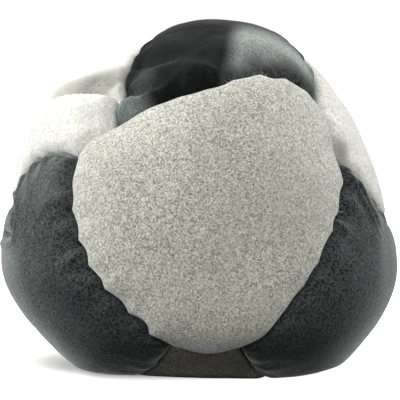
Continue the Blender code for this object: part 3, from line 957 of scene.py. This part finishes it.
# Each patch is painted light, sheen or shade: colour, place, distances where it is full and where it
# is gone, amount, and for
# some the plane that it lies beyond: normal, start, blend
# the plane beyond the shoulder crease, past which painted shade lies on the upper-left panel
behindShoulder = ((0.498, 0.597, 0.629), 0.0098, 0.0008)
suedes = {
    "light": suede("light grey synthetic suede", lightSuede),
    # the charcoal suede carries painted shade low down
    "dark": suede("charcoal synthetic suede", darkSuede),
    # painted shade on the right of the front panel
    "light_panel_front": suede(
        "light grey synthetic suede, painted shade at the right", lightSuede, sheen=0.95,
        patches=[("#8C8C80", (0.0150, -0.0235, 0.0250), 0.0020, 0.0110, 0.22)]),
    # painted light on the shoulder, painted shade where it sinks behind the crease
    "light_panel_upper_left": suede(
        "light grey synthetic suede, painted light and shade", lightSuede, patches=[
            ("#FCFCF6", (-0.0190, -0.0100, 0.0350), 0.0110, 0.0220, 0.88),
            ("#605F50", (-0.0140, -0.0085, 0.0408), 0.0012, 0.0060, 0.90, behindShoulder),
            ("#807F70", (-0.0185, -0.0065, 0.0395), 0.0010, 0.0050, 0.70, behindShoulder),
            ("#807F70", (-0.0105, -0.0095, 0.0430), 0.0010, 0.0045, 0.50, behindShoulder),
        ]),
    # painted light on the side, painted shade at the pit by the front junction
    "light_panel_right": suede(
        "light grey synthetic suede, brushed up at the side", lightSuede, patches=[
            ("#FAFAF2", (0.0215, -0.0080, 0.0330), 0.0080, 0.0180, 0.72),
            ("#55544A", (0.0203, -0.0122, 0.0325), 0.0008, 0.0032, 0.75),
        ]),
    # painted sheen on the upper part and the left rim, with the painted shade low down
    "dark_panel_left": suede(
        "charcoal synthetic suede, brushed up at the left", darkSuede, patches=[
            *darkSuede["patches"],
            ("#8A9290", (-0.0206, -0.0157, 0.0285), 0.0010, 0.0060, 0.22),
            ("#8A9290", (-0.0270, -0.0070, 0.0163), 0.0020, 0.0090, 0.48),
        ]),
    # painted sheen at the right rim, with the painted shade low down
    "dark_panel_right": suede(
        "charcoal synthetic suede, brushed up at the right", darkSuede, patches=[
            *darkSuede["patches"],
            ("#8A9290", (0.0266, -0.0075, 0.0163), 0.0020, 0.0080, 0.32),
        ]),
    # painted shade: the whole panel darker, as it lies in shade under the bag
    "light_panel_bottom": suede(
        "light grey synthetic suede, in painted shade", lightSuede,
        valley="#504F46", tip="#908F84", cloud="#68675E", sheen=0.1),
    # a shaded copy of the charcoal suede: painted shade on the left and above the front edge,
    # painted sheen on the right, painted highlights on the ridge band and the low lobe
    "dark_panel_top": suede(
        "charcoal synthetic suede, painted shade and sheen", darkSuede,
        valley="#090A0A", tip="#191C1B", cloud="#0F1111", sheen=0.07, patches=[
            ("#B4BCB8", (0.0105, -0.0125, 0.0445), 0.0050, 0.0125, 0.74,
             ((0.98, 0.0, -0.2), -0.0062, 0.0030)),
            ("#0A0B0B", (0.0106, -0.0120, 0.0426), 0.0006, 0.0028, 0.55),
            ("#0A0B0B", (0.0084, -0.0136, 0.0421), 0.0014, 0.0047, 0.97),
            ("#0A0B0B", (0.0122, -0.0118, 0.0415), 0.0014, 0.0046, 0.95),
            ("#0A0B0B", (0.0146, -0.0106, 0.0400), 0.0012, 0.0038, 0.85),
            ("#0A0B0B", (0.0050, -0.0156, 0.0418), 0.0010, 0.0032, 0.85),
            ("#8A9290", (-0.0080, -0.0142, 0.0418), 0.0010, 0.0034, 0.15),
            ("#A3ADAA", (-0.0100, -0.0175, 0.0375), 0.0010, 0.0050, 0.70),
        ]),
}
for panel, piece in panels.items():
    piece.data.materials.append(suedes.get(panel, suedes[panel.split("_")[0]]))
fibrePiece.data.materials.append(suedes["light"])


def waxedThread():
    # waxed polyester: smooth plies with a soft shine and a little dust in the grooves
    material, tree, place = newTree("waxed black polyester thread")
    wax = addNode(tree, "TexNoise", {"Scale": 1 / thread["dustSize"], "Detail": 3.0},
                  {"Vector": place})
    hairs = addNode(tree, "TexNoise", {"Scale": 1 / thread["hairSize"], "Detail": 1.0},
                    {"Vector": place})
    colour = addNode(tree, "Mix",
                     {"data_type": "RGBA", 6: srgb("#1C1E1E"), 7: srgb("#3A3C3B")},
                     {0: wax})
    rough = addNode(tree, "MapRange", {"To Min": 0.35, "To Max": 0.6},
                    {"Value": wax})
    bump = addNode(tree, "Bump", {"Strength": 0.4, "Distance": thread["hairHeight"]},
                   {"Height": hairs})
    shader = addNode(tree, "BsdfPrincipled", {"IOR": 1.5},
                     {"Base Color": colour.outputs[2], "Roughness": rough,
                      "Normal": bump})
    addNode(tree, "OutputMaterial", links={"Surface": shader})
    return material


def drySand():
    # quartz sand: grains of half a millimetre from pale straw to brown
    material, tree, place = newTree("dry quartz sand")
    grains = addNode(tree, "TexVoronoi", {"Scale": 1 / sand["tintSize"]}, {"Vector": place})
    tone = addNode(tree, "SeparateColor", {}, {0: grains.outputs["Color"]})
    colour = addNode(tree, "Mix",
                     {"data_type": "RGBA", 6: srgb("#8F7A58"), 7: srgb("#D9C8A4")},
                     {0: tone})
    bump = addNode(tree, "Bump",
                   {"Strength": 0.8, "Distance": sand["tintHeight"], "invert": True},
                   {"Height": grains.outputs["Distance"]})
    shader = addNode(tree, "BsdfPrincipled", {"IOR": 1.54, "Roughness": 0.8},
                     {"Base Color": colour.outputs[2], "Normal": bump})
    addNode(tree, "OutputMaterial", links={"Surface": shader})
    return material


threadFinish = waxedThread()
for piece in threads:
    piece.data.materials.append(threadFinish)
sandPiece.data.materials.append(drySand())
print("materials: %d" % len(bpy.data.materials))

studio = {
    "distance": 0.4,
    "elevation": 4.0,
    "target": (0.0, 0.0, 0.0245),
    "pixelsPerMetre": 7030.0,
    "middlePixel": (199.0, 199.0),
    "lampAim": (0.0, 0.0, 0.025),
    "floorSize": 4.0,
    "floorPaper": "#BCBCBA",  # as the camera sees it
    "floorBounce": "#3C3C3C",  # as the bag sees it, so that its underside stays in shade
    # the glow is weak round this place: painted shade on the floor round the bag, along with the
    # lamps' real shadow
    "glowMiddle": (-0.006, 0.012, 0.0),
    "glowNear": 0.02,
    "glowFar": 1.0,
    "glowFrom": 0.014,
    "glowTo": 0.025,
    "sky": 0.50,
}
camera = bpy.data.objects.new("camera", bpy.data.cameras.new("camera"))
scene.collection.objects.link(camera)
lift = math.radians(studio["elevation"])
back = Vector((0, -math.cos(lift), math.sin(lift)))
camera.location = Vector(studio["target"]) + back * studio["distance"]
camera.rotation_euler = (-back).to_track_quat("-Z", "Y").to_euler()
imageWidth = 400
filmWidth = 36
camera.data.sensor_width = filmWidth
camera.data.lens = filmWidth * studio["distance"] / (imageWidth / studio["pixelsPerMetre"])
camera.data.shift_x = (imageWidth / 2 - studio["middlePixel"][0]) / imageWidth
camera.data.shift_y = (studio["middlePixel"][1] - imageWidth / 2) / imageWidth
camera.data.clip_start = 0.01
scene.camera = camera


def makeFloor():
    floorMesh = bpy.data.meshes.new("floor")
    size = studio["floorSize"]
    floorMesh.from_pydata([(-size, -size, 0), (size, -size, 0), (size, size, 0), (-size, size, 0)],
                          [], [(0, 1, 2, 3)])
    floor = bpy.data.objects.new("floor", floorMesh)
    scene.collection.objects.link(floor)
    material, tree, place = newTree("white studio paper")
    floorMesh.materials.append(material)
    # glow weak near the bag: painted shade on the floor there, besides the real shadow
    apart = addNode(tree, "VectorMath",
                    {"operation": "DISTANCE", 1: studio["glowMiddle"]}, {0: place})
    strength = addNode(tree, "MapRange",
                       {"interpolation_type": "SMOOTHSTEP", "From Min": studio["glowFrom"],
                        "From Max": studio["glowTo"], "To Min": studio["glowNear"],
                        "To Max": studio["glowFar"]}, {"Value": apart.outputs["Value"]})
    paper = addNode(tree, "BsdfDiffuse", {"Color": srgb(studio["floorPaper"])})
    glow = addNode(tree, "Emission", {"Color": (1, 1, 1, 1)},
                   {"Strength": strength})
    shown = addNode(tree, "AddShader", {}, {0: paper, 1: glow})
    bounce = addNode(tree, "BsdfDiffuse", {"Color": srgb(studio["floorBounce"])})
    ray = addNode(tree, "LightPath")
    both = addNode(tree, "MixShader", {},
                   {0: ray.outputs["Is Camera Ray"], 1: bounce, 2: shown})
    addNode(tree, "OutputMaterial", links={"Surface": both})


def makeSurround():
    world = bpy.data.worlds.new("white surround")
    scene.world = world
    world.use_nodes = True
    tree = world.node_tree
    tree.nodes.clear()
    ray = addNode(tree, "LightPath")
    seen = addNode(tree, "Math", {"operation": "MAXIMUM"},
                   {0: ray.outputs["Is Camera Ray"], 1: ray.outputs["Is Glossy Ray"]})
    seen = addNode(tree, "Math", {"operation": "MAXIMUM"},
                   {0: seen, 1: ray.outputs["Is Transmission Ray"]})
    level = addNode(tree, "MapRange", {"To Min": studio["sky"], "To Max": 1.0},
                    {"Value": seen})
    background = addNode(tree, "Background", {"Color": (1, 1, 1, 1)},
                         {"Strength": level})
    addNode(tree, "OutputWorld", links={"Surface": background})


lamps = {
    "overhead, behind and left": {"at": (-0.15, 0.16, 0.46), "size": 0.35, "watts": 0.9},
    "left": {"at": (-0.44, 0.11, 0.27), "size": 0.30, "watts": 3.3},
    "right": {"at": (0.40, 0.20, 0.25), "size": 0.30, "watts": 2.5},
    "front fill": {"at": (-0.04, -0.55, 0.12), "size": 0.40, "watts": 1.52},
}


def makeLamps():
    for name, lamp in lamps.items():
        data = bpy.data.lights.new(name, "AREA")
        data.shape = "DISK"
        data.size = lamp["size"]
        data.energy = lamp["watts"]
        light = bpy.data.objects.new(name, data)
        light.location = lamp["at"]
        aim = Vector(studio["lampAim"]) - light.location
        light.rotation_euler = aim.to_track_quat("-Z", "Y").to_euler()
        scene.collection.objects.link(light)


makeFloor()
makeSurround()
makeLamps()
scene.view_settings.view_transform = "Standard"
print("studio: %d lamps" % len(lamps))
